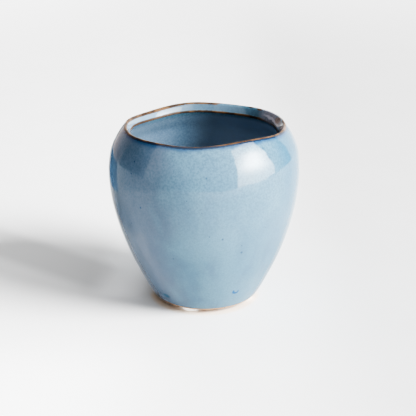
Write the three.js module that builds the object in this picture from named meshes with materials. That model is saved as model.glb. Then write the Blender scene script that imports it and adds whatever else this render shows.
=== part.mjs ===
// Handle-less stoneware shaving mug: a slip-cast round cup with a wide belly, a
// shoulder that leans in to a slightly wavy rim, a fired glaze coat over the
// outside, the rim and the inside, a bare clay foot, and four clear round bumpers
// stuck under the foot so that the mug stands just clear of the shelf.
//
// Millimetres, +Z up, +X to the right and -Y to the front. The bumpers' flat
// bottoms stand on z = 0 and the belly is centred on the Z axis.

import * as THREE from 'three';

const { clamp, degToRad, smoothstep } = THREE.MathUtils;

// ---------------------------------------------------------------- dimensions

const CUP_SEGMENTS = 56;
const BUMPER_SEGMENTS = 28;

const GLAZE_FOOT_Z = 2.9;       // lower edge of the glaze
const RIM_Z = 86.751;           // mean height of the rim's outer corner before it is rounded

// Outer radius of the glazed cup: [height, radius]
const OUTER_PROFILE = [
  [GLAZE_FOOT_Z, 25.83], [6.636, 28.041], [12.86, 31.22], [22.82, 35.781],
  [34.45, 39.966], [46.07, 43.061], [55, 44.453], [62, 44.948],
  [67, 44.879], [71, 44.401], [74.5, 43.762], [77.5, 42.689],
  [80, 41.431], [82, 40.304], [84, 38.91], [RIM_Z, 36.783],
];

// The cast's lean: [fraction of the glazed height, offset of the section's centre along X]
const LEAN = [[0, 0.474], [0.33, 0.279], [0.66, -0.007], [1, 0.181]];

// Waves round the rim, as cosine and sine pairs for one wave, two waves and so
// on. Angles run from +X towards +Y.
const RIM_WAVE_Z = [
  0.317, -0.127, -0.210, -0.100, -0.328, -0.065, 0.046, 0.263, -0.142, 0.269, 0.108, -0.093,
];
const RIM_WAVE_R = [0.132, 0.087, 0.031, 0.160, 0.153, -0.096, 0.020, 0.039, -0.009, -0.069];
const INSET_WAVE = [0.342, 0.003, -0.066, 0.024, 0.032, -0.004];
const DROP_WAVE = [0.166, 0.104, -0.054, -0.020, 0.041, 0.024, -0.032, 0.028, -0.046, 0.001];

// Heights between which each effect grows from nothing to full
const RIM_WAVE_RISE = [64, 82];
const INNER_WAVE_RISE = [60, 80];
const THICKENING_RISE = [70, 84];

const WALL = 4.27;              // wall with its glaze on both sides
const RIM_THICKENING = 0.78;    // extra wall at the rim
const GLAZE = 0.45;             // thickness of the fired glaze
const RIM_EDGE_INSET = 2.966;   // inner rim edge, inward from the outer edge
const RIM_EDGE_DROP = 4.393;    // inner rim edge, below the outer edge
const EDGE_ROUND = 0.7;         // rounding radius of both rim edges
const EDGE_STEPS = 3;

const FLOOR_Z = 7.6;            // glazed inner floor, flat in the middle
const CLAY_FLOOR_Z = FLOOR_Z - GLAZE;
const FLOOR_FLAT_RADIUS = 14.5;
const FILLET_PULL = 0.72;       // how far the floor curve's handles reach to its corner

const FOOT_Z = 2.0;             // underside of the clay foot
const FOOT_RADIUS = 24.75;      // outer edge of the flat foot
const HEEL = [[0.38, 0.2], [0.6, 0.62]]; // [out, up] from the foot's outer edge
const RECESS_RADIUS = 13.2;     // shallow dish in the middle of the foot
const RECESS_DEPTH = 0.7;
const RECESS_SLOPE_WIDTH = 1.6;

const BUMPER_HEIGHT = 1.86;
const BUMPER_RADIUS = 4.75;
const BUMPER_CIRCLE = 19.2;     // bumper centres, from the foot's centre
const BUMPER_TURN = 20;         // degrees from the front towards the left
const ADHESIVE_RADIUS = 4.6;

// Profile stations, as fractions of the glazed height
const OUTSIDE_STATIONS = [
  0, 0.022, 0.055, 0.1, 0.16, 0.24, 0.33, 0.43, 0.53,
  0.62, 0.70, 0.765, 0.82, 0.86, 0.89, 0.92, 0.95, 0.978,
];
const INSIDE_STATIONS = [
  0.968, 0.945, 0.92, 0.885, 0.84, 0.785, 0.72, 0.64, 0.55, 0.45, 0.35, 0.26, 0.185,
];
const FILLET_STATIONS = [0.2, 0.4, 0.6, 0.8, 1]; // curve parameter, wall to floor

// ------------------------------------------------------------ shape functions

// Natural cubic spline through [x, y] points.
function spline(points) {
  const xs = points.map(([x]) => x);
  const ys = points.map(([, y]) => y);
  const count = points.length;
  const curvature = new Array(count).fill(0);
  const upper = new Array(count).fill(0);
  const rest = new Array(count).fill(0);

  // Solve the tridiagonal system: sweep forward, then substitute back.
  for (let i = 1; i < count - 1; i++) {
    const before = xs[i] - xs[i - 1];
    const after = xs[i + 1] - xs[i];
    const slopeChange = (ys[i + 1] - ys[i]) / after - (ys[i] - ys[i - 1]) / before;
    const pivot = 2 * (before + after) - before * upper[i - 1];
    upper[i] = after / pivot;
    rest[i] = (6 * slopeChange - before * rest[i - 1]) / pivot;
  }
  for (let i = count - 2; i > 0; i--) {
    curvature[i] = rest[i] - upper[i] * curvature[i + 1];
  }

  return (x) => {
    let i = 0;
    while (i < count - 2 && x > xs[i + 1]) i++;
    const width = xs[i + 1] - xs[i];
    const left = (xs[i + 1] - x) / width;
    const right = (x - xs[i]) / width;
    const bending = (left ** 3 - left) * curvature[i] + (right ** 3 - right) * curvature[i + 1];
    return left * ys[i] + right * ys[i + 1] + bending * width * width / 6;
  };
}

function wave(coefficients, angle) {
  let sum = 0;
  for (let i = 0; i < coefficients.length; i += 2) {
    const turns = i / 2 + 1;
    sum += coefficients[i] * Math.cos(turns * angle);
    sum += coefficients[i + 1] * Math.sin(turns * angle);
  }
  return sum;
}

const heightAt = (fraction) => GLAZE_FOOT_Z + fraction * (RIM_Z - GLAZE_FOOT_Z);
const radiusAt = spline(OUTER_PROFILE);
const leanSpline = spline(LEAN.map(([fraction, x]) => [heightAt(fraction), x]));
const leanAt = (z) => leanSpline(clamp(z, GLAZE_FOOT_Z, RIM_Z));
const wallAt = (z) => WALL + RIM_THICKENING * smoothstep(z, ...THICKENING_RISE);

// Profile vectors hold (r, z).
const vec = (r, z) => new THREE.Vector2(r, z);
const outerAt = (z) => vec(radiusAt(z), z);

// Outward unit normal of the outer profile.
function normalAt(z) {
  const step = 0.05;
  const low = outerAt(Math.max(GLAZE_FOOT_Z, z - step));
  const high = outerAt(Math.min(RIM_Z, z + step));
  return vec(high.y - low.y, low.x - high.x).normalize();
}

// ------------------------------------------------------ profile of the glaze
// Skin points are points of the glazed surface with their outward normal. `lift`
// is how much of the rim's wave a point takes and `inner` how much of the inner
// edge's own wave.

const skinPoint = (at, normal, lift, inner) => ({ r: at.x, z: at.y, normal, lift, inner });

// From the foot to just below the rim.
function outsideWall() {
  return OUTSIDE_STATIONS.map((fraction) => {
    const z = heightAt(fraction);
    return skinPoint(outerAt(z), normalAt(z), smoothstep(z, ...RIM_WAVE_RISE), 0);
  });
}

// `into` and `out` are unit directions along the surface before and after the corner.
function roundedCorner(corner, into, out, inner) {
  const turn = into.angleTo(out);
  const setback = EDGE_ROUND * Math.tan(turn / 2);
  const firstNormal = vec(into.y, -into.x);
  const centre = corner.clone()
    .addScaledVector(into, -setback)
    .addScaledVector(firstNormal, -EDGE_ROUND);
  return Array.from({ length: EDGE_STEPS + 1 }, (_, i) => {
    const normal = firstNormal.clone().rotateAround(vec(0, 0), (i / EDGE_STEPS) * turn);
    return skinPoint(centre.clone().addScaledVector(normal, EDGE_ROUND), normal, 1, inner);
  });
}

// Outer edge, sloping face and inner edge.
function rim() {
  const outerEdge = outerAt(RIM_Z);
  const innerEdge = vec(outerEdge.x - RIM_EDGE_INSET, outerEdge.y - RIM_EDGE_DROP);
  const normal = normalAt(RIM_Z);
  const wallUp = vec(-normal.y, normal.x);
  const face = innerEdge.clone().sub(outerEdge).normalize();
  return [
    ...roundedCorner(outerEdge, wallUp, face, 0),
    ...roundedCorner(innerEdge, face, wallUp.clone().negate(), 1),
  ];
}

// A wall's thickness in from the outside, from the rim down.
function insideWall() {
  return INSIDE_STATIONS.map((fraction) => {
    const z = heightAt(fraction);
    const normal = normalAt(z).negate();
    const at = outerAt(z).addScaledVector(normal, wallAt(z));
    const lift = smoothstep(at.y, ...RIM_WAVE_RISE);
    return skinPoint(at, normal, lift, smoothstep(at.y, ...INNER_WAVE_RISE));
  });
}

// The curve from the last point of the inside wall into the flat floor.
function floorFillet({ r, z, normal }) {
  const wallEnd = vec(r, z);
  const wallDown = vec(-normal.y, normal.x);
  const bend = wallEnd.clone().addScaledVector(wallDown, (FLOOR_Z - z) / wallDown.y);
  const floorStart = vec(FLOOR_FLAT_RADIUS, FLOOR_Z);
  const curve = new THREE.CubicBezierCurve(
    wallEnd,
    wallEnd.clone().lerp(bend, FILLET_PULL),
    floorStart.clone().lerp(bend, FILLET_PULL),
    floorStart,
  );
  return FILLET_STATIONS.map((t) => {
    // The last tangent is set level, so that the clay under it meets its flat floor.
    const tangent = t === 1 ? vec(-1, 0) : curve.getTangent(t);
    return skinPoint(curve.getPoint(t), vec(tangent.y, -tangent.x), 0, 0);
  });
}

const inside = insideWall();
const glazeTop = [...outsideWall(), ...rim(), ...inside, ...floorFillet(inside.at(-1))];

// The clay surface lies a glaze's thickness below, along the normal.
const clayTop = glazeTop.map((point) => ({
  ...point,
  r: point.r - GLAZE * point.normal.x,
  z: point.z - GLAZE * point.normal.y,
}));

// ------------------------------------------------------------------ the cup

const plain = (r, z) => ({ r, z, lift: 0, inner: 0 });

// Turns a profile round the Z axis and gives it the cast's lean and the rim's wave.
// The first `backward` bands are split along their other diagonal, so that a
// profile that runs back along a surface gets that surface's own triangles.
function turned(profile, backward = 0) {
  const geometry = new THREE.LatheGeometry(profile.map(({ r, z }) => vec(r, z)), CUP_SEGMENTS);
  const { index, attributes: { position } } = geometry;
  const bands = profile.length - 1;

  for (let segment = 0; segment < CUP_SEGMENTS; segment++) {
    for (let band = 0; band < backward; band++) {
      const first = 6 * (segment * bands + band);
      // LatheGeometry lists each quad a, b, c, d as the triangles a b d and c d b.
      const [a, b, d, c] = [0, 1, 2, 3].map((k) => index.getX(first + k));
      [a, b, c, a, c, d].forEach((vertex, k) => index.setX(first + k, vertex));
    }
  }

  for (let i = 0; i <= CUP_SEGMENTS; i++) {
    const angle = ((i % CUP_SEGMENTS) / CUP_SEGMENTS) * 2 * Math.PI - Math.PI / 2;
    profile.forEach(({ r, z, lift, inner }, j) => {
      const rise = lift * (wave(RIM_WAVE_Z, angle) - inner * wave(DROP_WAVE, angle));
      const swell = lift * (wave(RIM_WAVE_R, angle) - inner * wave(INSET_WAVE, angle));
      const x = leanAt(z) + (r + swell) * Math.cos(angle);
      const y = (r + swell) * Math.sin(angle);
      position.setXYZ(i * profile.length + j, x, y, z + rise);
    });
  }
  geometry.computeVertexNormals();
  return geometry;
}

// Recess, flat foot, heel, outside, rim, inside, floor.
function bodyGeometry() {
  return turned([
    plain(0, FOOT_Z + RECESS_DEPTH),
    plain(RECESS_RADIUS - RECESS_SLOPE_WIDTH, FOOT_Z + RECESS_DEPTH),
    plain(RECESS_RADIUS, FOOT_Z),
    plain(FOOT_RADIUS, FOOT_Z),
    ...HEEL.map(([out, up]) => plain(FOOT_RADIUS + out, FOOT_Z + up)),
    ...clayTop,
    plain(0, CLAY_FLOOR_Z),
  ]);
}

// Back along the clay from the floor's centre to the heel, then out over the
// glaze's own surface to the floor's centre again.
function coatGeometry() {
  const profile = [
    plain(0, CLAY_FLOOR_Z),
    ...clayTop.toReversed(),
    ...glazeTop,
    plain(0, FLOOR_Z),
  ];
  return turned(profile, clayTop.length);
}

// --------------------------------------------------------------- the bumpers

// Profiles of [radius, height]
const BUMPER_PROFILE = [
  [0, 0], [3.7, 0], [4.3, 0.14], [4.66, 0.52],
  [BUMPER_RADIUS, 1.0], [BUMPER_RADIUS, BUMPER_HEIGHT], [0, BUMPER_HEIGHT],
];
const ADHESIVE_PROFILE = [
  [0, BUMPER_HEIGHT], [ADHESIVE_RADIUS, BUMPER_HEIGHT], [ADHESIVE_RADIUS, FOOT_Z], [0, FOOT_Z],
];

function discGeometry(profile) {
  const points = profile.map(([r, z]) => vec(r, z));
  return new THREE.LatheGeometry(points, BUMPER_SEGMENTS).rotateX(Math.PI / 2);
}

// ------------------------------------------------------------------ assembly

const matter = (color, roughness) =>
  new THREE.MeshStandardMaterial({ color, roughness, metalness: 0 });

const materials = {
  clay: matter(0xa98561, 0.85),
  glaze: matter(0x86a3b8, 0.2),
  bumper: matter(0xeef0ee, 0.12),
  adhesive: matter(0xe6e2d6, 0.5),
};

const object = new THREE.Group();
object.name = 'shaving_mug';

function addPiece(name, geometry, material, x = 0, y = 0) {
  const mesh = new THREE.Mesh(geometry, material);
  mesh.name = name;
  mesh.position.set(x, y, 0);
  object.add(mesh);
}

addPiece('stoneware_body', bodyGeometry(), materials.clay);
addPiece('glaze_coat', coatGeometry(), materials.glaze);

['front', 'right', 'back', 'left'].forEach((side, i) => {
  const angle = degToRad(-90 - BUMPER_TURN + 90 * i);
  const x = leanAt(GLAZE_FOOT_Z) + BUMPER_CIRCLE * Math.cos(angle);
  const y = BUMPER_CIRCLE * Math.sin(angle);
  addPiece(`bumper_${side}`, discGeometry(BUMPER_PROFILE), materials.bumper, x, y);
  addPiece(`adhesive_disc_${side}`, discGeometry(ADHESIVE_PROFILE), materials.adhesive, x, y);
});

export default object;
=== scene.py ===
"""A glazed stoneware cup on four clear bumpers, standing on a white studio floor.

The cup stands upright with its foot near z = 0 and its axis close to the z axis. The front
faces -y and +x is to the right. The cup is built in millimetres, the studio in metres.
"""
import math

import bpy
import numpy as np
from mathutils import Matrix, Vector, noise


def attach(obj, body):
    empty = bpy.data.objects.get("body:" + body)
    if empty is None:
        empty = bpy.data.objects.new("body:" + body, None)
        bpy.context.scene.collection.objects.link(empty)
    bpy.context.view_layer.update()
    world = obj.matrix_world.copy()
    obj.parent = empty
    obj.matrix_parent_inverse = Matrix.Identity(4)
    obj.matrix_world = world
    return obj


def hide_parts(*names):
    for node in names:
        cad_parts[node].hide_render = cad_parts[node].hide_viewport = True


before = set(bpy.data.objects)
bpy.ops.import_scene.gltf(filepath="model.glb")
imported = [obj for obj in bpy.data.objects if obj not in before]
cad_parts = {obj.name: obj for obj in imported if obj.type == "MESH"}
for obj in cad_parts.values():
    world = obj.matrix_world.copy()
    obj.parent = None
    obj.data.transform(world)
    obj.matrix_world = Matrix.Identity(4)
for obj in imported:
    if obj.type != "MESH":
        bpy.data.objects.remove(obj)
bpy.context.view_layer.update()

MM = 0.001
scene = bpy.context.scene

# ------------------------------------------------------------- cup dimensions (mm)
GLAZE_FOOT_Z = 2.9  # where the glaze stops, above the foot
RIM_Z = 86.751
SPAN = RIM_Z - GLAZE_FOOT_Z
# the outside: a height, and the radius at that height
PROFILE_Z = [GLAZE_FOOT_Z, 6.636, 12.86, 22.82, 34.45, 46.07, 55, 62,
             67, 71, 74.5, 77.5, 80, 82, 84, RIM_Z]
OUTER_RADIUS = [25.83, 28.041, 31.22, 35.781, 39.966, 43.061, 44.453, 44.948,
                44.879, 44.401, 43.762, 42.689, 41.431, 40.304, 38.91, 36.783]
# sideways position of the axis at fractions of the glazed height
LEAN_FRACTION = [0, 0.33, 0.66, 1]
LEAN_X = [0.474, 0.279, -0.007, 0.181]
# unevenness round the rim: cosine and sine amplitudes, one pair per harmonic
RIM_WAVE_Z = [0.317, -0.127, -0.210, -0.100, -0.328, -0.065,
              0.046, 0.263, -0.142, 0.269, 0.108, -0.093]
RIM_WAVE_R = [0.132, 0.087, 0.031, 0.160, 0.153, -0.096, 0.020, 0.039, -0.009, -0.069]
INSET_WAVE = [0.342, 0.003, -0.066, 0.024, 0.032, -0.004]
DROP_WAVE = [0.166, 0.104, -0.054, -0.020, 0.041, 0.024, -0.032, 0.028, -0.046, 0.001]
WAVE_Z = (64, 82)  # the waves grow from nothing to full between these heights
WALL = 4.27
RIM_THICKENING = 0.78
THICKENING_Z = (70, 84)
GLAZE = 0.45
# the inner edge of the sloping rim face, from its outer edge
RIM_EDGE_INSET = 2.966
RIM_EDGE_DROP = 4.393
EDGE_ROUND = 0.7
CORNER_STEPS = 9
FACE_BULGE = 0.10
FLOOR_Z = 7.6
FLOOR_FLAT_RADIUS = 14.5
FLOOR_RADII = (10.5, 7.0, 3.5, 1.2)
FLOOR_CURVE_PULL = 0.72
FOOT_Z = 2.0
FOOT_RADIUS = 24.75
HEEL_ROUND = 0.75
HEEL_INSET = 0.15
RECESS_RADIUS = 13.2
RECESS_DEPTH = 0.7
LIP_BULGE = 0.16
LIP_SETBACK = 0.12
GLAZE_WOBBLE = 0.07
SEGMENTS = 224
# rings up the outside and down the inside: from, to (fractions of SPAN) and count
OUTER_RUNS = [(0, 0.1, 9), (0.1, 0.8, 36), (0.8, 0.984, 24)]
INNER_RUNS = [(0.972, 0.8, 18), (0.8, 0.185, 32)]

BUMPER_CIRCLE = 19.2
BUMPER_TURN = 20  # degrees, clockwise from above
BUMPER_SEGMENTS = 48
# radius and height, from the underside outwards and over the top
BUMPER_PROFILE = [
    (1.4, 0.0), (2.6, 0.0), (3.5, 0.0), (3.85, 0.03), (4.15, 0.10),
    (4.4, 0.23), (4.58, 0.42), (4.7, 0.68), (4.75, 1.0), (4.75, 1.35),
    (4.73, 1.62), (4.66, 1.78), (4.5, 1.86), (3.0, 1.86), (1.4, 1.86)]
SIDES = ["front", "right", "back", "left"]


# ------------------------------------------------------------------ cup form
def spline(xs, ys):
    """Natural cubic spline, as a function of an array."""
    xs, ys = np.array(xs, float), np.array(ys, float)
    count = len(xs)
    matrix = np.zeros((count, count))
    target = np.zeros(count)
    matrix[0, 0] = matrix[-1, -1] = 1
    for i in range(1, count - 1):
        before, after = xs[i] - xs[i - 1], xs[i + 1] - xs[i]
        matrix[i, i - 1], matrix[i, i], matrix[i, i + 1] = before, 2 * (before + after), after
        target[i] = 6 * ((ys[i + 1] - ys[i]) / after - (ys[i] - ys[i - 1]) / before)
    curve = np.linalg.solve(matrix, target)

    def at(x):
        x = np.asarray(x, float)
        i = np.clip(np.searchsorted(xs, x, side="right") - 1, 0, count - 2)
        gap = xs[i + 1] - xs[i]
        left, right = (xs[i + 1] - x) / gap, (x - xs[i]) / gap
        bend = (left**3 - left) * curve[i] + (right**3 - right) * curve[i + 1]
        return left * ys[i] + right * ys[i + 1] + bend * gap * gap / 6

    return at


radius_at = spline(PROFILE_Z, OUTER_RADIUS)
lean_at = spline([GLAZE_FOOT_Z + part * SPAN for part in LEAN_FRACTION], LEAN_X)


def lean(z):
    return np.where(z <= GLAZE_FOOT_Z, LEAN_X[0], lean_at(np.clip(z, GLAZE_FOOT_Z, RIM_Z)))


def wave(amplitudes, angle):
    total = np.zeros_like(angle)
    for i in range(0, len(amplitudes), 2):
        turns = i // 2 + 1
        total = total + amplitudes[i] * np.cos(turns * angle)
        total = total + amplitudes[i + 1] * np.sin(turns * angle)
    return total


def smooth(start, end, x):
    part = np.clip((np.asarray(x, float) - start) / (end - start), 0, 1)
    return part * part * (3 - 2 * part)


def normal_at(z):
    """Outward normal of the outside, as r and z."""
    low, high = np.maximum(GLAZE_FOOT_Z, z - 0.05), np.minimum(RIM_Z, z + 0.05)
    run, rise = radius_at(high) - radius_at(low), high - low
    length = np.hypot(run, rise)
    return rise / length, -run / length


def lift_at(z):
    return smooth(*WAVE_Z, z)


def wall_at(z):
    return WALL + RIM_THICKENING * smooth(*THICKENING_Z, z)


def stations(runs):
    """Joins the runs, without repeating the stops they share."""
    return np.concatenate([np.linspace(*run)[:-1] for run in runs] + [[runs[-1][1]]])


# ------------------------------------------------------- outline of the glaze surface
# A row is r, z, normal r, normal z, lift (share of the rim waves), and inner (share of
# the inner edge's own waves).
def row(r, z, normal_r, normal_z, lift=0, inner=0):
    length = math.hypot(normal_r, normal_z)
    return tuple(float(v) for v in (r, z, normal_r / length, normal_z / length, lift, inner))


def outer_wall():
    heights = GLAZE_FOOT_Z + stations(OUTER_RUNS) * SPAN
    return [row(radius_at(z), z, *normal_at(z), lift_at(z)) for z in heights]


def rounded_corner(corner, into, out, inner):
    """Arc from the direction into the corner to the direction out of it."""
    turn = math.acos(max(-1, min(1, float(into @ out))))
    start = corner - into * EDGE_ROUND * math.tan(turn / 2)
    first = np.array([into[1], -into[0]])
    centre = start - first * EDGE_ROUND
    rows = []
    for i in range(CORNER_STEPS + 1):
        angle = i / CORNER_STEPS * turn
        cos, sin = math.cos(angle), math.sin(angle)
        normal = np.array([first[0] * cos - first[1] * sin, first[0] * sin + first[1] * cos])
        rows.append(row(*(centre + normal * EDGE_ROUND), *normal, 1, inner))
    return rows


def rim_face(start_row, end_row):
    """Four slightly bulging points between the rim's two rounded edges."""
    start, end = np.array(start_row[:2]), np.array(end_row[:2])
    normal = end_row[2:4]
    rows = []
    for part in (0.2, 0.4, 0.6, 0.8):
        flat = start + (end - start) * part
        bulge = FACE_BULGE * math.sin(math.pi * part)
        rows.append(row(*(flat + np.array(normal) * bulge), *normal, 1.0, part))
    return rows


def inner_wall():
    rows = []
    for z in GLAZE_FOOT_Z + stations(INNER_RUNS) * SPAN:
        out_r, out_z = normal_at(z)
        inner_z = z - wall_at(z) * out_z
        rows.append(row(radius_at(z) - wall_at(z) * out_r, inner_z, -out_r, -out_z,
                        lift_at(inner_z), smooth(60, 80, inner_z)))
    return rows


def inner_floor(last):
    """A Bezier bend from the end of the inner wall to the flat floor, then the floor."""
    start, end = np.array(last[:2]), np.array([FLOOR_FLAT_RADIUS, FLOOR_Z])
    along_wall = np.array([last[3], -last[2]])
    bend = start + along_wall * (start[1] - FLOOR_Z) / -along_wall[1]
    pull_1 = start + (bend - start) * FLOOR_CURVE_PULL
    pull_2 = np.array([end[0] + (bend[0] - end[0]) * FLOOR_CURVE_PULL, FLOOR_Z])
    rows = []
    for t in np.linspace(0, 1, 15)[1:]:
        rest = 1 - t
        point = (rest**3 * start + 3 * rest**2 * t * pull_1
                 + 3 * rest * t * t * pull_2 + t**3 * end)
        slope = (3 * rest**2 * (pull_1 - start) + 6 * rest * t * (pull_2 - pull_1)
                 + 3 * t * t * (end - pull_2))
        rows.append(row(*point, slope[1], -slope[0]))
    return rows + [row(r, FLOOR_Z, 0, 1) for r in FLOOR_RADII]


def glaze_outline():
    """The outline from the foot over the rim to the floor, and its two rim edge rows."""
    outer_edge = np.array([float(radius_at(RIM_Z)), RIM_Z])
    inner_edge = outer_edge - np.array([RIM_EDGE_INSET, RIM_EDGE_DROP])
    rim_r, rim_z = normal_at(RIM_Z)
    wall_up = np.array([-rim_z, rim_r])
    face = (inner_edge - outer_edge) / np.linalg.norm(inner_edge - outer_edge)
    rows = outer_wall() + rounded_corner(outer_edge, wall_up, face, 0)
    outer_apex = len(rows) - 5
    inner_corner = rounded_corner(inner_edge, face, -wall_up, 1)
    rows += rim_face(rows[-1], inner_corner[0]) + inner_corner
    inner_apex = len(rows) - 5
    rows += inner_wall()
    rows += inner_floor(rows[-1])
    return np.array(rows), outer_apex, inner_apex


# ------------------------------------------------------------ surfaces of revolution
def rings(profile, wobble=0.0):
    """Turns rows of r, z, lift, inner into points (rings x SEGMENTS x 3) in mm."""
    angle = (np.arange(SEGMENTS) / SEGMENTS * 2 * math.pi - math.pi / 2)[None, :]
    r, z, lift, inner = (profile[:, k][:, None] for k in range(4))
    raised = z + lift * (wave(RIM_WAVE_Z, angle) - inner * wave(DROP_WAVE, angle))
    radius = r + lift * (wave(RIM_WAVE_R, angle) - inner * wave(INSET_WAVE, angle))
    points = np.stack([lean(z) + radius * np.cos(angle), radius * np.sin(angle), raised], -1)
    if wobble:
        # a hand-made unevenness, pushed away from the z axis
        for point in points.reshape(-1, 3):
            x, y, height = point
            place = Vector((x / 17.0 + 3.1, y / 17.0 - 1.7, height / 21.0))
            push = wobble * noise.noise(place) + 0.35 * wobble * noise.noise(place * 2.7)
            distance = math.hypot(x, y) or 1.0
            point[0] += push * x / distance
            point[1] += push * y / distance
    return points


def lathe_mesh(name, points, start_centre, end_centre, attributes=None):
    """A closed body from rings of points, with attributes given per ring."""
    ring_count, around = points.shape[:2]
    verts = [tuple(v) for v in (points.reshape(-1, 3) * MM)]
    verts += [tuple(np.array(centre) * MM) for centre in (start_centre, end_centre)]
    start = ring_count * around
    last_ring = start - around
    faces = []
    for i in range(ring_count - 1):
        low, high = i * around, (i + 1) * around
        for j in range(around):
            k = (j + 1) % around
            faces.append((low + j, low + k, high + k, high + j))
    faces += [(start, (j + 1) % around, j) for j in range(around)]
    faces += [(start + 1, last_ring + j, last_ring + (j + 1) % around) for j in range(around)]
    mesh = bpy.data.meshes.new(name)
    mesh.from_pydata(verts, [], faces)
    mesh.validate()
    for key, per_ring in (attributes or {}).items():
        values = np.zeros(len(verts), np.float32)
        values[:start] = np.repeat(np.asarray(per_ring, np.float32), around)
        values[-1] = values[last_ring]
        mesh.attributes.new(key, "FLOAT", "POINT").data.foreach_set("value", values)
    mesh.polygons.foreach_set("use_smooth", [True] * len(mesh.polygons))
    mesh.update()
    obj = bpy.data.objects.new(name, mesh)
    scene.collection.objects.link(obj)
    return obj


skin, outer_apex, inner_apex = glaze_outline()
glaze_side = skin[:, [0, 1, 4, 5]]
clay_side = glaze_side.copy()
clay_side[:, :2] -= GLAZE * skin[:, 2:4]
floor_x = float(lean(FLOOR_Z))
clay_floor_centre = (floor_x, 0, FLOOR_Z - GLAZE)


def build_glaze():
    """From the floor back along the clay, round the lip, then over the glaze surface."""
    clay_foot, glaze_foot = clay_side[0], glaze_side[0]
    tangent = glaze_side[1, :2] - glaze_foot[:2]
    tangent /= np.linalg.norm(tangent)
    # a rounded lip where the glaze stops above the foot
    lip = []
    for part in (0.25, 0.5, 0.75):
        middle = clay_foot[:2] * (1 - part) + glaze_foot[:2] * part
        lip.append([*(middle - tangent * LIP_BULGE * math.sin(math.pi * part)), 0, 0])
    first = glaze_foot.copy()
    first[:2] += tangent * LIP_SETBACK
    hidden = np.vstack([clay_side[::-2], clay_foot, lip])
    profile = np.vstack([hidden, first, glaze_side[1:]])
    # distance along the surface, in mm, from each feature line
    steps = np.hypot(np.diff(skin[:, 0]), np.diff(skin[:, 1]))
    along = np.concatenate([[0], np.cumsum(steps)])
    far = np.full(len(hidden), 99.0)
    attributes = {
        "edge_out": np.concatenate([far, along - along[outer_apex]]),
        "edge_in": np.concatenate([far, along - along[inner_apex]]),
        "foot_edge": np.concatenate([np.zeros(len(hidden)), along]),
    }
    return lathe_mesh("glaze_skin", rings(profile, GLAZE_WOBBLE), clay_floor_centre,
                      (floor_x, 0, FLOOR_Z), attributes)


def build_clay():
    """Recess, flat foot, rounded heel, then under the glaze."""
    recess_z = FOOT_Z + RECESS_DEPTH
    under = [(4, recess_z), (8, recess_z), (RECESS_RADIUS - 1.9, recess_z),
             (RECESS_RADIUS - 1.5, recess_z - 0.05), (RECESS_RADIUS - 0.3, FOOT_Z + 0.08),
             (RECESS_RADIUS + 0.1, FOOT_Z), (17, FOOT_Z), (21, FOOT_Z), (23.5, FOOT_Z)]
    for angle in np.radians(np.linspace(-90, 8, 9)):
        under.append((FOOT_RADIUS - HEEL_INSET + HEEL_ROUND * math.cos(angle),
                      FOOT_Z + HEEL_ROUND + HEEL_ROUND * math.sin(angle)))
    profile = np.vstack([[(r, z, 0, 0) for r, z in under], clay_side[::2]])
    return lathe_mesh("clay_cup", rings(profile), (LEAN_X[0], 0, recess_z),
                      clay_floor_centre, {"height": profile[:, 1]})


def build_bumper(i, side):
    """A clear button with a soft shoulder."""
    angle = math.radians(-90 - BUMPER_TURN + 90 * i)
    x = LEAN_X[0] + BUMPER_CIRCLE * math.cos(angle)
    y = BUMPER_CIRCLE * math.sin(angle)
    turn = np.arange(BUMPER_SEGMENTS) / BUMPER_SEGMENTS * 2 * math.pi
    points = np.array([[[x + r * math.cos(t), y + r * math.sin(t), z] for t in turn]
                       for r, z in BUMPER_PROFILE])
    bottom, top = BUMPER_PROFILE[0][1], BUMPER_PROFILE[-1][1]
    return lathe_mesh(f"clear_bumper_{side}", points, (x, y, bottom), (x, y, top))


glaze = build_glaze()
clay = build_clay()
bumpers = [build_bumper(i, side) for i, side in enumerate(SIDES)]


# ------------------------------------------------------------------- node helpers
def function(operation):
    """A method that puts a value through a Math node."""
    def apply(self):
        return self.graph.field("ShaderNodeMath", {0: self}, operation=operation)
    return apply


def operator(operation, swapped=False):
    """A method that joins two values with a Math node."""
    def apply(self, other):
        first, second = (other, self) if swapped else (self, other)
        return self.graph.field("ShaderNodeMath", {0: first, 1: second}, operation=operation)
    return apply


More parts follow.
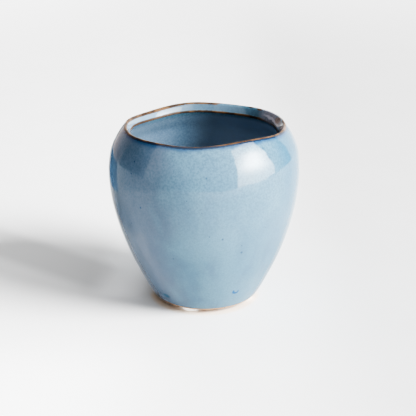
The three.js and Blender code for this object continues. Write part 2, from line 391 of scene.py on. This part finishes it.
class Field:
    """The output of a shader node. Arithmetic on it adds Math nodes."""

    def __init__(self, graph, socket):
        self.graph, self.socket = graph, socket

    __add__, __radd__ = operator("ADD"), operator("ADD", swapped=True)
    __sub__, __rsub__ = operator("SUBTRACT"), operator("SUBTRACT", swapped=True)
    __mul__, __truediv__ = operator("MULTIPLY"), operator("DIVIDE")
    maximum, minimum, arctan2 = operator("MAXIMUM"), operator("MINIMUM"), operator("ARCTAN2")
    __abs__, arcsine, exponent = function("ABSOLUTE"), function("ARCSINE"), function("EXPONENT")

    def ramp(self, at, to=(0.0, 1.0), kind="SMOOTHSTEP"):
        """Goes from to[0] to to[1] as the value goes from at[0] to at[1]."""
        inputs = {0: self, 1: at[0], 2: at[1], 3: to[0], 4: to[1]}
        return self.graph.field("ShaderNodeMapRange", inputs, interpolation_type=kind)

    def line(self, at, to):
        return self.ramp(at, to, "LINEAR")

    def fall(self, at):
        return self.ramp(at, to=(1.0, 0.0))

    def band(self, start, end, soft):
        """1 between start and end, with soft edges."""
        return (self.ramp(at=(start - soft, start + soft))
                * self.fall(at=(end - soft, end + soft)))

    def mix(self, first, second):
        """The first colour where this value is 0, the second where it is 1."""
        return self.graph.field("ShaderNodeMix", {0: self, 6: first, 7: second}, 2,
                                data_type="RGBA")

    def coat(self, colour, mask, amount=None):
        """Lays a colour over this one where the mask is 1."""
        return (mask if amount is None else mask * amount).mix(self, colour)

    def parts(self):
        node = self.graph.node("ShaderNodeSeparateXYZ", {0: self})
        return [Field(self.graph, socket) for socket in node.outputs]

    def length(self):
        return self.graph.field("ShaderNodeVectorMath", {0: self}, "Value", operation="LENGTH")

    def scaled(self, scale, shift=(0, 0, 0)):
        return self.graph.field("ShaderNodeMapping", {0: self, "Scale": scale, "Location": shift})

    def noise(self, size, detail, rough, distortion=0.0):
        """Noise with features of about size mm."""
        inputs = {"Vector": self, "Scale": 1000.0 / size, "Detail": detail,
                  "Roughness": rough, "Distortion": distortion}
        return self.graph.field("ShaderNodeTexNoise", inputs)

    def cells(self, size):
        """Distance to scattered points about size mm apart."""
        inputs = {"Vector": self, "Scale": 1000.0 / size}
        return self.graph.field("ShaderNodeTexVoronoi", inputs, "Distance")

    def spot(self, centre, radii, soft):
        """1 inside an ellipsoid (mm), fading to 0 outside."""
        moved = self.scaled([1000.0 / r for r in radii], [-c / r for c, r in zip(centre, radii)])
        return moved.length().fall(at=(1 - soft, 1 + soft))

    def bump(self, strength, distance):
        """A normal from this height, with the distance in mm."""
        inputs = {"Height": self, "Strength": strength, "Distance": distance * MM}
        return self.graph.field("ShaderNodeBump", inputs)


class Graph:
    """The node tree of a material, a light or the world."""

    def __init__(self, owner, output_kind):
        owner.use_nodes = True
        self.tree = owner.node_tree
        self.tree.nodes.clear()
        self.output = self.node(output_kind, {})

    def link(self, source, socket):
        if isinstance(source, Field):
            self.tree.links.new(source.socket, socket)
            return
        if socket.type == "RGBA":
            source = (source,) * 3 if isinstance(source, (int, float)) else tuple(source)
            source = source[:3] + (1.0,)
        socket.default_value = source

    def node(self, kind, inputs, **props):
        node = self.tree.nodes.new(kind)
        node.location = (40 * len(self.tree.nodes), 0)
        for key, value in props.items():
            setattr(node, key, value)
        for key, value in inputs.items():
            self.link(value, node.inputs[key])
        return node

    def field(self, kind, inputs, output=0, **props):
        return Field(self, self.node(kind, inputs, **props).outputs[output])

    def attribute(self, name):
        return self.field("ShaderNodeAttribute", {}, "Fac", attribute_name=name)

    def blend(self, mask, first, second):
        return self.field("ShaderNodeMixShader", {0: mask, 1: first, 2: second})

    def surface(self, shader):
        self.link(shader, self.output.inputs["Surface"])

    def principled(self, **inputs):
        inputs = {key.replace("_", " "): value for key, value in inputs.items()}
        self.surface(self.field("ShaderNodeBsdfPrincipled", inputs))


def new_material(name):
    """A material, its graph, and its object coordinates."""
    material = bpy.data.materials.new(name)
    graph = Graph(material, "ShaderNodeOutputMaterial")
    return material, graph, graph.field("ShaderNodeTexCoord", {}, "Object")


def azimuth_of(x, y):
    """Degrees from the front, towards the right."""
    return x.arctan2(y * -1.0) * (180 / math.pi)


# ------------------------------------------------------------------------ glaze
def body_colour(place, around, edge_out, foot_edge, fine):
    cloud = place.noise(size=26, detail=3, rough=0.55, distortion=0.4)
    run = place.scaled((1, 1, 0.35)).noise(size=11, detail=3, rough=0.6)
    grain = place.noise(size=0.55, detail=1, rough=0.5)
    base = cloud.ramp(at=(0.36, 0.64)).mix((0.077, 0.160, 0.226), (0.101, 0.202, 0.268))
    base = base.coat((0.106, 0.214, 0.274), run.ramp(at=(0.42, 0.68)), amount=0.5)
    # long runs down the lower half, a little greyer
    stretched = place.scaled((1, 1, 0.13), shift=(0.01, 0.02, 0.03))
    drip = stretched.noise(size=7, detail=3, rough=0.55, distortion=0.6)
    low = foot_edge.ramp(at=(62, 30))
    base = base.coat((0.075, 0.118, 0.190), drip.ramp(at=(0.48, 0.70)) * low, amount=0.30)
    base = base.coat((0.128, 0.242, 0.312), foot_edge.ramp(at=(26, 46)), amount=0.25)
    # the left side is more lilac, and is also painted darker: painted shade on the side away from
    # the key light
    lilac_and_painted_shade = (around + cloud.line(at=(0.3, 0.7), to=(-8.0, 8.0))).band(-122, -23, soft=13)
    far_left = around.band(-125, -66, soft=10) * foot_edge.ramp(at=(50, 66))
    grey_blue = run.ramp(at=(0.38, 0.66)).mix((0.085, 0.117, 0.173), (0.098, 0.131, 0.188))
    base = base.coat(far_left.mix(grey_blue, (0.070, 0.124, 0.190)), lilac_and_painted_shade, amount=0.88)
    right_side = around.ramp(at=(44, 63)) * around.fall(at=(108, 130))
    base = base.coat((0.048, 0.147, 0.222), right_side, amount=0.92)
    # painted light: paler round the back, below the rim, where the lamps leave the outside dim
    behind = abs(around).ramp(at=(106, 150)) * edge_out.ramp(at=(-1.0, -6.0))
    painted_back_light = run.ramp(at=(0.36, 0.66)).mix((0.150, 0.262, 0.330), (0.185, 0.310, 0.375))
    base = base.coat(painted_back_light, behind, amount=0.62)
    # fine darker mottle, denser on the shoulder and inside
    dense = foot_edge.ramp(at=(35, 85), to=(0.25, 1.0))
    base = base.coat((0.040, 0.088, 0.134), fine.ramp(at=(0.62, 0.34)) * dense, amount=0.47)
    base = base.coat((0.05, 0.10, 0.16), grain.ramp(at=(0.60, 0.36)), amount=0.16)
    # sparse dark specks
    speck = place.cells(size=7.5).fall(at=(0.030, 0.060))
    return base.coat((0.02, 0.05, 0.10), speck, amount=0.6)


def inside_colour(base, around, edge_in, fine):
    """Inside the cup the glaze is thinner and a paler, greyer blue, with painted shade deeper down
    and painted light on the right side.
    """
    inside = edge_in.ramp(at=(0.2, 4.0)) * edge_in.fall(at=(90, 95))
    high = fine.ramp(at=(0.30, 0.70)).mix((0.108, 0.160, 0.220), (0.140, 0.198, 0.258))
    deep = fine.ramp(at=(0.30, 0.70)).mix((0.066, 0.102, 0.150), (0.090, 0.130, 0.178))
    # painted shade: darker deeper down inside, less so on the left where the light falls in
    painted_depth_shade = edge_in.ramp(at=(3.8, 10.5)) * (1.0 - around.band(-138, -60, soft=10) * 0.45)
    base = base.coat(painted_depth_shade.mix(high, deep), inside, amount=0.84)
    # painted light: palest on the right of the inside, by the angle away from its middle
    off = abs(around - 96.0)
    off = off.minimum(360.0 - off)
    painted_light_right = off.ramp(at=(54, 12)).mix((0.235, 0.305, 0.405), (0.35, 0.43, 0.55))
    return base.coat(painted_light_right, inside * off.ramp(at=(101, 58)), amount=0.92)


def rim_colour(base, around, edge_out, edge_in, wander, ragged):
    # the sloping face, paler on the left, where the glaze is thin and a painted highlight also
    # stands in for the bright reflection, and darker at the rear
    face = edge_out.ramp(at=(0.7, 1.5)) * edge_in.ramp(at=(-0.6, -1.3))
    pale_and_painted_highlight = around.band(-150, -55, soft=12)
    back_right = around.band(128, 175, soft=7) * 0.72
    rear = abs(around).ramp(at=(166, 174)).maximum(back_right)
    tone = pale_and_painted_highlight.mix((0.096, 0.132, 0.178), (0.185, 0.262, 0.345))
    base = base.coat(rear.mix(tone, (0.034, 0.062, 0.100)), face, amount=0.65)
    # deep blue where the glaze thins under the outer edge, with a navy line at the top
    below = edge_out * -1.0
    width = wander.line(at=(0.3, 0.7), to=(2.3, 3.9))
    deep = (below / width).fall(at=(0.42, 1.15)) * below.ramp(at=(-0.3, 0.1))
    base = base.coat((0.020, 0.062, 0.138), deep, amount=0.88)
    frayed = below + ragged.line(at=(0.25, 0.75), to=(-0.22, 0.22))
    navy = frayed.fall(at=(1.25, 1.75)) * below.ramp(at=(-0.3, 0.1))
    return base.coat((0.012, 0.019, 0.036), navy, amount=0.9)


def bare_edges(base, place, around, edge_out, edge_in, ragged):
    """Brown clay on both rim edges, worn away at the back right and thin in front."""
    worn = place.noise(size=14, detail=2, rough=0.5)
    front_gap = around.band(-20, 13, soft=7)
    back_gap = around.band(97, 168, soft=3)
    edge = (edge_out + ragged.line(at=(0.25, 0.75), to=(-0.14, 0.14))
            + worn.line(at=(0.35, 0.65), to=(-0.06, 0.10)))
    low_side = (edge - front_gap * 0.26).ramp(at=(-0.88, -0.66))
    back_left = abs(around).band(100, 200, soft=6) * (1.0 - back_gap)
    wider = back_left * 0.42 + around.band(-160, -88, soft=8) * 0.45
    high_side = (edge - front_gap * -0.2 + back_gap * 0.85 - wider).fall(at=(0.62, 0.92))
    line_out = low_side * high_side
    half_width = (ragged.line(at=(0.25, 0.75), to=(0.40, 0.58))
                  + worn.line(at=(0.35, 0.65), to=(-0.05, 0.08)))
    left_back = around.band(-162, -95, soft=8)
    from_line = abs(edge_in + (0.1 + left_back * 0.25))
    line_in = (from_line - (half_width + 0.14)).fall(at=(-0.16, 0.14))
    brown = place.noise(size=4.5, detail=3, rough=0.5).ramp(at=(0.36, 0.60))
    brown = brown.mix((0.038, 0.019, 0.008), (0.112, 0.058, 0.023))
    rust = place.spot((23.1, 28.6, 86.3), radii=(1.6, 1.3, 0.45), soft=0.4).maximum(
        place.spot((27.0, 24.4, 86.1), radii=(1.9, 1.7, 0.40), soft=0.4))
    edges = line_out.maximum(line_in).maximum(rust)
    brown = brown.coat((0.042, 0.024, 0.013), left_back * line_in, amount=0.7)
    return base.coat(brown, edges, amount=0.94), edges


def right_rim_marks(base, place, around, edge_out, edge_in):
    # a grey-lilac smear on the rim, towards the back
    cover = place.scaled((1, 1, 1)).noise(size=2.6, detail=3, rough=0.6, distortion=1.2)
    cover = cover.ramp(at=(0.36, 0.58))
    smear = place.spot((31.6, 17.2, 85.0), radii=(5.5, 8.0, 3.0), soft=0.35)
    smear = smear * cover.ramp(at=(0.0, 1.0), to=(0.6, 1.0))
    base = base.coat((0.245, 0.235, 0.275), smear, amount=0.8)
    # a pale streak along the rim face, dark on its inner side
    waver = place.noise(size=3.0, detail=2, rough=0.5)
    streak_at = (around.line(at=(90, 127), to=(3.7, 2.1))
                 + waver.line(at=(0.3, 0.7), to=(-0.35, 0.35)))
    streak = abs(edge_out - streak_at).fall(at=(0.15, 0.85)) * around.band(93, 124, soft=5)
    base = base.coat((0.46, 0.46, 0.53), streak, amount=0.75)
    under = (edge_out - streak_at).ramp(at=(0.5, 1.1)) * edge_in.ramp(at=(-0.2, -0.6))
    base = base.coat((0.030, 0.060, 0.095), under * around.band(88, 116, soft=6), amount=0.7)
    # a tan patch, and a brown one with a dark pit
    tan = place.spot((35.7, -4.5, 85.3), radii=(1.9, 5.0, 1.8), soft=0.4)
    base = base.coat((0.27, 0.20, 0.17), tan, amount=0.7)
    patch = place.spot((35.0, 8.6, 85.0), radii=(1.9, 3.0, 1.5), soft=0.35)
    base = base.coat((0.16, 0.10, 0.08), patch, amount=0.75)
    pit = place.spot((35.6, 8.2, 85.6), radii=(1.2, 1.7, 0.9), soft=0.35)
    return base.coat((0.030, 0.018, 0.014), pit, amount=0.9)


# kiln specks on the front: centre and radius (mm)
KILN_SPECKS = [
    ((-28.1, -34.7, 57.5), 0.45), ((-30.6, -29.7, 77.3), 0.38),
    ((-32.0, -30.4, 72.0), 0.36), ((16.7, -37.2, 36.9), 0.5),
    ((8.1, -42.1, 45.3), 0.45), ((1.0, -43.7, 74.3), 0.4),
    ((25.5, -30.0, 83.4), 0.5), ((17.1, -32.8, 86.0), 0.45)]


def front_marks(base, place):
    marks = None
    for centre, radius in KILN_SPECKS:
        dot = place.spot(centre, radii=(radius, radius * 1.6, radius * 1.1), soft=0.35)
        marks = dot if marks is None else marks.maximum(dot)
    base = base.coat((0.020, 0.055, 0.110), marks, amount=0.7)
    # a blue ring low on the right, and a dark pool by the foot on the left
    ring = (place.spot((14.5, -28.0, 13.0), radii=(1.6, 2.6, 1.5), soft=0.22)
            - place.spot((14.8, -27.9, 13.9), radii=(0.9, 2.4, 1.2), soft=0.25))
    base = base.coat((0.012, 0.085, 0.210), ring.maximum(0.0), amount=0.95)
    pool = place.spot((-18.0, -22.3, 8.2), radii=(2.0, 2.2, 1.2), soft=0.45)
    return base.coat((0.012, 0.070, 0.120), pool, amount=0.8)


def blue_glaze():
    material, graph, place = new_material("blue_glaze")
    # distances in mm along the surface from the outer edge, inner edge and foot
    edge_out, edge_in, foot_edge = map(graph.attribute, ("edge_out", "edge_in", "foot_edge"))
    x, y, _ = place.parts()
    around = azimuth_of(x, y)
    fine = place.noise(size=0.95, detail=2, rough=0.6)
    wander = place.noise(size=9, detail=2, rough=0.5)
    ragged = place.noise(size=1.1, detail=3, rough=0.6)
    base = body_colour(place, around, edge_out, foot_edge, fine)
    base = inside_colour(base, around, edge_in, fine)
    base = rim_colour(base, around, edge_out, edge_in, wander, ragged)
    base, edges = bare_edges(base, place, around, edge_out, edge_in, ragged)
    base = right_rim_marks(base, place, around, edge_out, edge_in)
    base = front_marks(base, place)
    # lip at the foot
    base = base.coat((0.20, 0.15, 0.12), foot_edge.fall(at=(0.05, 0.4)), amount=0.55)
    wavy = place.noise(size=7, detail=2, rough=0.5)
    graph.principled(
        Base_Color=base,
        Roughness=fine.line(at=(0.3, 0.7), to=(0.035, 0.075)) + edges * 0.26,
        Normal=(wavy * 1.0 + fine * 0.10).bump(strength=0.22, distance=0.10),
        IOR=1.5, Specular_IOR_Level=0.5 - edges * 0.42)
    return material


# ------------------------------------------------------------- clay and bumpers
def bare_clay():
    material, graph, place = new_material("bare_clay")
    sand = place.noise(size=0.7, detail=3, rough=0.65)
    patch = place.noise(size=9, detail=3, rough=0.55)
    base = patch.ramp(at=(0.35, 0.65)).mix((0.36, 0.205, 0.105), (0.54, 0.335, 0.185))
    base = base.coat((0.60, 0.42, 0.27), sand.ramp(at=(0.35, 0.65)), amount=0.45)
    pits = place.cells(size=1.3).fall(at=(0.12, 0.25))
    base = base.coat((0.10, 0.06, 0.04), pits, amount=0.6)
    graph.principled(
        Base_Color=base, Roughness=sand.line(at=(0.3, 0.7), to=(0.75, 0.95)),
        Normal=sand.bump(strength=0.5, distance=0.12), IOR=1.4)
    return material


def clear_bumper():
    material, graph, place = new_material("clear_bumper")
    haze = place.noise(size=1.5, detail=3, rough=0.6)
    smudge = place.noise(size=0.5, detail=2, rough=0.5)
    # painted light: the faint emission keeps the bumper bright in the shade under the foot
    graph.principled(
        Base_Color=haze.ramp(at=(0.35, 0.65)).mix((0.93, 0.93, 0.91), (0.97, 0.97, 0.97)),
        Roughness=haze.line(at=(0.3, 0.7), to=(0.08, 0.22)),
        Normal=smudge.bump(strength=0.15, distance=0.03), IOR=1.49,
        Subsurface_Weight=1.0, Subsurface_Radius=(1.0, 1.0, 1.0), Subsurface_Scale=0.004,
        Emission_Color=(1.0, 0.98, 0.94), Emission_Strength=0.55)
    return material


def adhesive_film():
    material, graph, place = new_material("adhesive_film")
    haze = place.noise(size=1.2, detail=3, rough=0.6)
    graph.principled(
        Base_Color=haze.ramp(at=(0.35, 0.65)).mix((0.80, 0.77, 0.70), (0.88, 0.86, 0.80)),
        Roughness=haze.line(at=(0.3, 0.7), to=(0.35, 0.55)),
        Normal=haze.bump(strength=0.3, distance=0.05))
    return material


def register(piece, replaced):
    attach(piece, "root")
    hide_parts(replaced)


glaze.data.materials.append(blue_glaze())
clay.data.materials.append(bare_clay())
bumper_material = clear_bumper()
film_material = adhesive_film()
register(glaze, "glaze_coat")
register(clay, "stoneware_body")
for side, bumper in zip(SIDES, bumpers):
    bumper.data.materials.append(bumper_material)
    register(bumper, f"bumper_{side}")
    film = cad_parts[f"adhesive_disc_{side}"]
    film.data.materials.clear()
    film.data.materials.append(film_material)

# ------------------------------------------------------------------ stage (metres)
BACKDROP = (1.92, 1.92, 1.92)
# the table top in the reflections: corners as x, y
TABLE_CORNERS = [
    (-0.297, -0.48), (-0.156, -0.585), (0.014, -0.635), (0.179, -0.60), (0.63, -0.52),
    (0.63, 2.0), (-0.13, 2.0), (-0.125, 0.20), (-0.113, 0.14), (-0.135, 0.097),
    (-0.193, 0.024), (-0.218, -0.019), (-0.246, -0.073), (-0.283, -0.159), (-0.313, -0.275)]


def studio_floor():
    """White paper near the cup, with painted light and shadow close to it, running out into the
    glowing backdrop.
    """
    material, graph, place = new_material("studio_floor")
    distance = place.length()
    x, y, _ = place.parts()
    paper = place.noise(size=60, detail=3, rough=0.5).ramp(at=(0.35, 0.65))
    paper = paper.mix((0.785, 0.785, 0.785), (0.80, 0.80, 0.80))
    # painted bounce light: clay-coloured light thrown onto the table close to the foot
    painted_clay_bounce = distance.band(0.0225, 0.0268, soft=0.0012) * y.ramp(at=(0.0, -0.006))
    paper = paper.coat((0.80, 0.68, 0.54), painted_clay_bounce, amount=0.60)
    # painted light: lighter towards the left, and lighter still at the front left
    painted_side_light = x.ramp(at=(-0.08, 0.10), to=(1.10, 0.88))
    painted_side_light = painted_side_light * x.ramp(at=(0.025, 0.085), to=(1.0, 0.86))
    near_left = x.ramp(at=(0.005, -0.060), to=(0.03, 0.24))
    near_tone = 1.0 + y.ramp(at=(-0.030, -0.085)) * near_left
    # painted shadow: a darker streak that deepens the cup's shadow, running away to the left and
    # slightly back
    down = x * -0.927 + y * 0.375
    across = x * 0.375 + y * 0.927
    across = across - (down - 0.050) * 0.25
    shade = across.band(-0.020, 0.009, soft=0.006) * (
        down.ramp(at=(0.040, 0.060)) * down.ramp(at=(0.190, 0.110)))
    # painted light: a lighter patch just left of the cup, lifting its shadow
    painted_light_beside = (x.ramp(at=(-0.024, -0.036)) * x.ramp(at=(-0.060, -0.042))) * (
        y.ramp(at=(-0.014, 0.0)) * y.ramp(at=(0.075, 0.035)))
    local = (1.0 + painted_light_beside * 0.30) * (1.0 - shade * 0.24)
    # the far left throws back less light
    bounced = graph.field("ShaderNodeLightPath", {}, "Is Diffuse Ray")
    beyond = 1.0 - bounced * (x.ramp(at=(-0.12, -0.32)) * 0.5)
    tone = painted_side_light * near_tone * local * beyond
    paper = graph.field("ShaderNodeVectorMath", {0: paper, "Scale": tone}, operation="SCALE")
    diffuse = graph.field("ShaderNodeBsdfDiffuse", {"Color": paper})
    strength = beyond * x.ramp(at=(-0.25, 0.0), to=(1.18, 1.0))
    glow = graph.field("ShaderNodeEmission", {"Color": BACKDROP, "Strength": strength})
    graph.surface(graph.blend(distance.ramp(at=(0.35, 1.1)), diffuse, glow))
    return material


def studio_table():
    material, graph, place = new_material("studio_table")
    x, y, _ = place.parts()
    # painted light: a light patch at the left
    patch = y.ramp(at=(-0.035, -0.012)) * x.ramp(at=(-0.095, -0.070))
    patch = patch * x.ramp(at=(0.0, -0.02))
    # painted shade: darker to the left and close to the cup, lighter towards the front
    tone = (x.ramp(at=(-0.10, 0.03), to=(0.44, 0.80))
            * place.length().ramp(at=(0.045, 0.11), to=(0.66, 1.0)))
    tone = tone * y.ramp(at=(-0.08, -0.36), to=(1.0, 1.25))
    tone = tone * (1.0 - patch) + patch * 0.95
    # painted shade: a little darker at the back left
    back_left = y.ramp(at=(0.02, 0.06)) * x.ramp(at=(-0.04, -0.065))
    colour = tone * (1.0 - back_left * 0.15)
    graph.surface(graph.field("ShaderNodeBsdfDiffuse", {"Color": colour}))
    return material


def sheet(name, corners, z, material):
    mesh = bpy.data.meshes.new(name)
    mesh.from_pydata([(x, y, z) for x, y in corners], [], [tuple(range(len(corners)))])
    mesh.materials.append(material)
    obj = bpy.data.objects.new(name, mesh)
    scene.collection.objects.link(obj)
    return obj


floor = sheet("studio_floor", [(-40, -40), (40, -40), (40, 40), (-40, 40)], 0.0, studio_floor())
floor.visible_glossy = False
# only the glaze's reflections see the table
table = sheet("studio_table", TABLE_CORNERS, 0.0003, studio_table())
for flag in ("visible_camera", "visible_diffuse", "visible_transmission", "visible_shadow"):
    setattr(table, flag, False)


# ------------------------------------------------------------------------ world
def mirrored_room(azimuth, elevation):
    """What the glaze mirrors, from angles in degrees."""
    side_light, right_dark = 1.9, 0.10
    leaning = azimuth + elevation.line(at=(20, 40), to=(0.0, 8.5))
    front = leaning.ramp(at=(-73.9, -72.9)) * azimuth.fall(at=(59.2, 60.8))
    front_level = (azimuth.line(at=(-74, 38), to=(0.66, 1.76))
                   + azimuth.line(at=(-74, -48), to=(0.56, 0.0)))
    level = front * (front_level * elevation.line(at=(-6, 14), to=(0.76, 1.03)))
    level = level + (1.0 - front) * side_light
    level = level.coat(right_dark, azimuth.band(60, 126, soft=1.5), amount=1.0)
    low_left = azimuth.band(-122, -60, soft=1.5) * elevation.fall(at=(-7.2, -5.8))
    level = level.coat(0.65, low_left)
    behind_left = azimuth.fall(at=(-159, -155)) * elevation.fall(at=(-8, 3))
    level = level.coat(0.42, behind_left)
    black = azimuth.ramp(at=(-122.8, -121.2)) * leaning.fall(at=(-73.9, -72.9))
    level = level.coat(0.03, black * elevation.ramp(at=(-7.2, -5.8)))
    left_wall = azimuth.band(-156, -120, soft=1.5) * elevation.ramp(at=(-7.5, -6))
    wall_tone = azimuth.line(at=(-156, -125), to=(0.0, 1.0))
    level = level.coat(wall_tone.mix((1.18, 0.98, 0.92), (0.35, 0.27, 0.25)), left_wall)
    post = azimuth.band(-125, -120.0, soft=0.7) * elevation.fall(at=(6, 14))
    level = level.coat(0.62, post)
    gap = azimuth.band(-156, -125.5, soft=1.0) * elevation.band(-30, -7, soft=0.8)
    return level.coat((0.15, 0.26, 0.43), gap)


def soft_room(azimuth, elevation):
    """The soft light on everything, from angles in degrees."""
    level = azimuth.ramp(at=(-62, 52), to=(0.10, 1.60))
    level = level.coat(0.80, abs(azimuth + 20.0).ramp(at=(105, 150)))
    behind = abs(azimuth + 20.0).ramp(at=(125, 155)) * elevation.fall(at=(22, 34))
    level = level.coat(1.1, behind)
    return level.coat(0.95, elevation.ramp(at=(42, 70)))


def build_world():
    world = bpy.data.worlds.new("studio")
    scene.world = world
    graph = Graph(world, "ShaderNodeOutputWorld")
    x, y, z = graph.field("ShaderNodeTexCoord", {}, "Generated").parts()
    azimuth = azimuth_of(x, y)
    elevation = z.arcsine() * (180 / math.pi)
    mirrored, soft, seen = (
        graph.field("ShaderNodeBackground", {"Color": colour})
        for colour in (mirrored_room(azimuth, elevation), soft_room(azimuth, elevation), BACKDROP))
    rays = graph.node("ShaderNodeLightPath", {}).outputs
    lighting = graph.blend(Field(graph, rays["Is Glossy Ray"]), soft, mirrored)
    graph.surface(graph.blend(Field(graph, rays["Is Camera Ray"]), lighting, seen))


build_world()

# ----------------------------------------------------------------------- lights
PANEL_AZIMUTH = math.radians(64.7)
PANEL_DISTANCE = 0.95
PANEL_WIDTH = 0.88
PANEL_LOW, PANEL_HIGH = -0.035, 1.34
PANEL_SLIDE = -0.022
PANEL_LEVEL = 8.5
# the bright patch: extra level, place and size (sideways, up)
HOT_LEVEL = 42.0
HOT_AT = (-0.02, 0.47)
HOT_SIZE = (0.30, 0.275)

KEY_RADIANCE = 62.0
KEY_SIZE = (1.45, 1.5)
KEY_DISTANCE = 3.0
KEY_AZIMUTH, KEY_ELEVATION = math.radians(68), math.radians(31)


def panel_surface(light):
    graph = Graph(light, "ShaderNodeOutputLight")
    x, y, up = graph.field("ShaderNodeNewGeometry", {}, "Position").parts()
    sideways = x * math.cos(PANEL_AZIMUTH) + y * math.sin(PANEL_AZIMUTH)
    hot_x = (sideways - HOT_AT[0]) / HOT_SIZE[0]
    hot_y = (up - HOT_AT[1]) / HOT_SIZE[1]
    glow = ((hot_x * hot_x + hot_y * hot_y) * -1.0).exponent()
    # its top edge slopes down to the right and its far corner is rounded
    corner = sideways.line(at=(0.33, 0.42), to=(0.0, 1.0))
    top = 1.10 - sideways * 0.50 - corner * corner * 0.26
    lit = (up - top).fall(at=(-0.015, 0.015))
    strength = (PANEL_LEVEL + glow * HOT_LEVEL) * lit
    graph.surface(graph.field("ShaderNodeEmission", {"Strength": strength}))


def area_light(name, shape, size, radiance, area, location, facing):
    light = bpy.data.lights.new(name, "AREA")
    light.shape = shape
    light.size, light.size_y = size
    # radiance 1 needs pi x area watts
    light.energy = radiance * math.pi * area
    obj = bpy.data.objects.new(name, light)
    scene.collection.objects.link(obj)
    obj.location = location
    obj.rotation_euler = facing.to_track_quat("-Z", "Y").to_euler()
    obj.visible_camera = False
    return obj


def key_panel():
    """The tall panel on the right that the glaze mirrors."""
    cos, sin = math.cos(PANEL_AZIMUTH), math.sin(PANEL_AZIMUTH)
    height = PANEL_HIGH - PANEL_LOW
    centre = Vector((sin * PANEL_DISTANCE, -cos * PANEL_DISTANCE, (PANEL_LOW + PANEL_HIGH) / 2))
    panel = area_light(
        "key_panel", "RECTANGLE", size=(PANEL_WIDTH, height), radiance=1,
        area=PANEL_WIDTH * height, location=centre + Vector((cos, sin, 0)) * PANEL_SLIDE,
        facing=Vector((0, 0, centre.z)) - centre)
    panel_surface(panel.data)
    panel.visible_diffuse = False


def key_light():
    """The light the panel throws: steadier over the table, and tighter than its face."""
    flat = math.cos(KEY_ELEVATION)
    location = Vector((math.sin(KEY_AZIMUTH) * flat, -math.cos(KEY_AZIMUTH) * flat,
                       math.sin(KEY_ELEVATION))) * KEY_DISTANCE
    key = area_light(
        "key_light", "ELLIPSE", size=KEY_SIZE, radiance=KEY_RADIANCE,
        area=math.pi / 4 * KEY_SIZE[0] * KEY_SIZE[1], location=location, facing=-location)
    key.visible_glossy = False


key_panel()
key_light()

# ----------------------------------------------------------------------- camera
CAMERA_DISTANCE = 0.460
CAMERA_ELEVATION = 0.3664165080302841  # radians
CAMERA_X = LEAN_X[0] * MM
AIM_Z = 0.0439845
AIM_RIGHT = 0.00135112657  # the aim lies this far right of the camera
LENS, SENSOR = 82.742746154, 36  # mm

camera_data = bpy.data.cameras.new("camera")
camera_data.sensor_width = SENSOR
camera_data.lens = LENS
camera_data.clip_start, camera_data.clip_end = 0.01, 100
camera = bpy.data.objects.new("camera", camera_data)
scene.collection.objects.link(camera)
camera.location = (CAMERA_X, -CAMERA_DISTANCE * math.cos(CAMERA_ELEVATION),
                   AIM_Z + CAMERA_DISTANCE * math.sin(CAMERA_ELEVATION))
aim = Vector((CAMERA_X + AIM_RIGHT, 0, AIM_Z))
camera.rotation_euler = (aim - camera.location).to_track_quat("-Z", "Y").to_euler()
scene.camera = camera

scene.view_settings.view_transform = "AgX"
scene.view_settings.look = "AgX - High Contrast"
